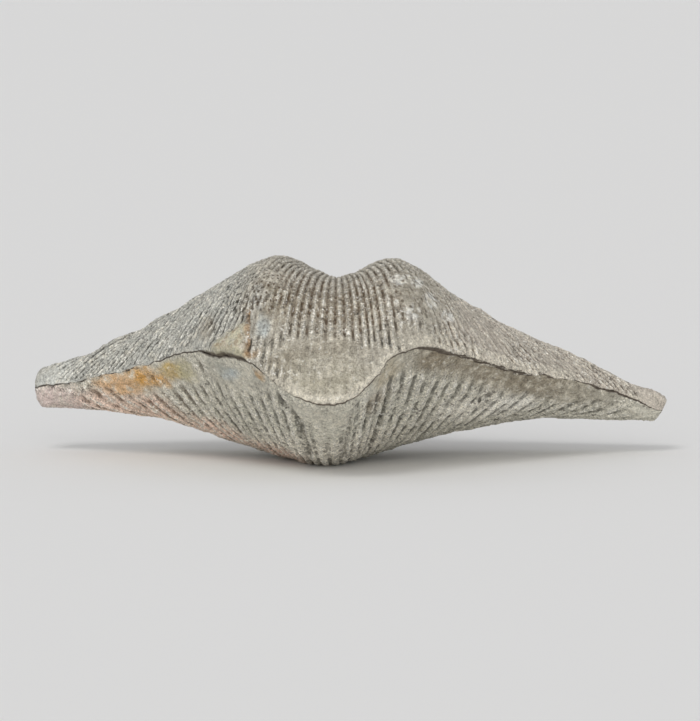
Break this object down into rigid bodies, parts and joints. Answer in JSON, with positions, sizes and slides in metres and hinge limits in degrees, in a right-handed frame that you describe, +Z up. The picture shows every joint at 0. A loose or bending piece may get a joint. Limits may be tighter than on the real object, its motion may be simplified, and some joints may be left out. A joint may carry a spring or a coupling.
{
  "type": "brachiopod fossil",
  "caption": "Winged, finely ribbed brachiopod fossil: two solid valves locked along a wavy edge, with a trough above and a fold below, lying on a worn facet.",
  "frame": {"origin": "on the surface that the fossil lies on, under the middle of its bounding box", "axes": "+X from the left wing tip to the right one, +Y from the front edge to the hinge, +Z up through the ventral valve"},
  "size_m": [0.0653, 0.0321, 0.0212],
  "materials": {
    "upper_stone": "dull grey-beige weathered stone",
    "lower_stone": "dull beige weathered stone with ochre stains"
  },
  "bodies": {
    "root": {"ventral_valve": "upper_stone", "dorsal_valve": "lower_stone"}
  },
  "joints": []
}
